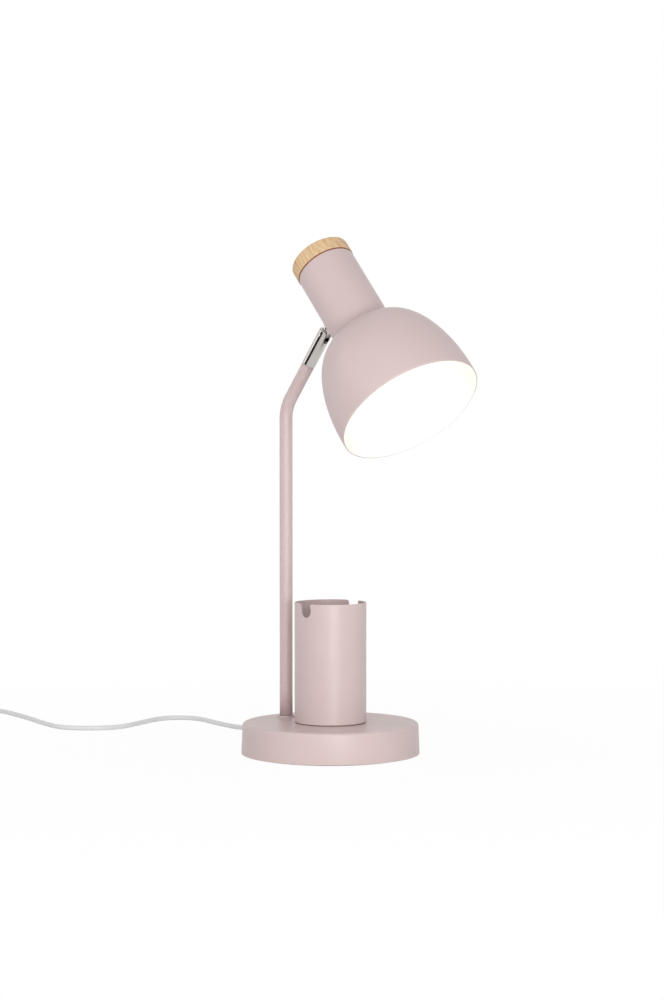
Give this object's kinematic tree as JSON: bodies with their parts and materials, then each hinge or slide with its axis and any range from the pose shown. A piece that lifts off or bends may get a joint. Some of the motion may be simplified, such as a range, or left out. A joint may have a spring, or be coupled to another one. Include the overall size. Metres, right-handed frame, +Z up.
{
  "type": "desk lamp with pen cup",
  "caption": "Desk lamp on a round weighted base, with a bent post, a spun shade that tilts on a swivel, and a pen cup whose notched rim holds a phone.",
  "frame": {"origin": "centre of the base's underside, on the table", "axes": "+Z up; +X from the post towards the cup, the way the shade leans"},
  "size_m": [0.5937, 0.2833, 0.4338],
  "materials": {
    "pink_paint": "satin",
    "shade_paint": "satin outside, white inside",
    "bare_steel": "zinc plated",
    "chrome": "polished",
    "brass": "plain",
    "cast_iron": "raw",
    "pale_wood": "clear satin lacquer",
    "dark_plastic": "fine matt",
    "foot_foam": "matt",
    "white_plastic": "satin",
    "cord_jacket": "satin",
    "opal": "opal"
  },
  "bodies": {
    "stand": {"ballast": "cast_iron", "base_cover": "pink_paint", "bottom_plate": "bare_steel", "clamp_screws": "bare_steel", "cord_clamp": "white_plastic", "cord_coil": "cord_jacket", "cord_inner": "cord_jacket", "cord_lead": "cord_jacket", "cord_link": "cord_jacket", "cord_tail": "cord_jacket", "cup_screws": "bare_steel", "cup_seal": "dark_plastic", "foot_insert": "bare_steel", "foot_pad": "foot_foam", "pen_cup": "pink_paint", "plate_screws": "bare_steel", "plug_body": "cord_jacket", "plug_pins": "bare_steel", "post_collar": "pink_paint", "post_lead": "cord_jacket", "post_nut": "bare_steel", "post_tube": "pink_paint", "post_washer": "bare_steel", "strain_relief": "cord_jacket", "switch_bottom": "cord_jacket", "switch_contacts": "brass", "switch_screws": "bare_steel", "switch_top": "cord_jacket", "swivel_pin": "chrome", "swivel_socket": "chrome", "terminal_block": "white_plastic", "terminal_cores": "brass"},
    "head": {"bulb_cap": "bare_steel", "bulb_globe": "opal", "bulb_housing": "white_plastic", "cap_insert": "brass", "cap_nipple": "bare_steel", "centre_contact": "brass", "head_lead": "cord_jacket", "holder_cap": "white_plastic", "holder_carrier": "white_plastic", "holder_skirt": "white_plastic", "inner_saddle": "dark_plastic", "nipple_nut": "bare_steel", "nipple_washer": "bare_steel", "outer_saddle": "dark_plastic", "screw_shell": "bare_steel", "shade_skirt": "shade_paint", "shade_belly": "shade_paint", "shade_shoulder": "shade_paint", "shade_crown": "shade_paint", "shade_neck": "shade_paint", "stud_nut": "bare_steel", "swivel_tongue": "chrome", "wood_cap": "pale_wood"},
    "rocker": {"switch_rocker": "cord_jacket"}
  },
  "joints": [
    {"name": "head_tilt", "type": "hinge", "parent": "stand", "child": "head", "pos_m": [-0.00746, 0, 0.35199], "axis": [0.0414, 0.9987, -0.0305], "range_deg": [-12, 45]},
    {"name": "switch_tip", "type": "hinge", "parent": "stand", "child": "rocker", "pos_m": [-0.42204, -0.09614, 0.012], "axis": [-0.848, -0.5299, 0], "range_deg": [-16, 0]}
  ]
}
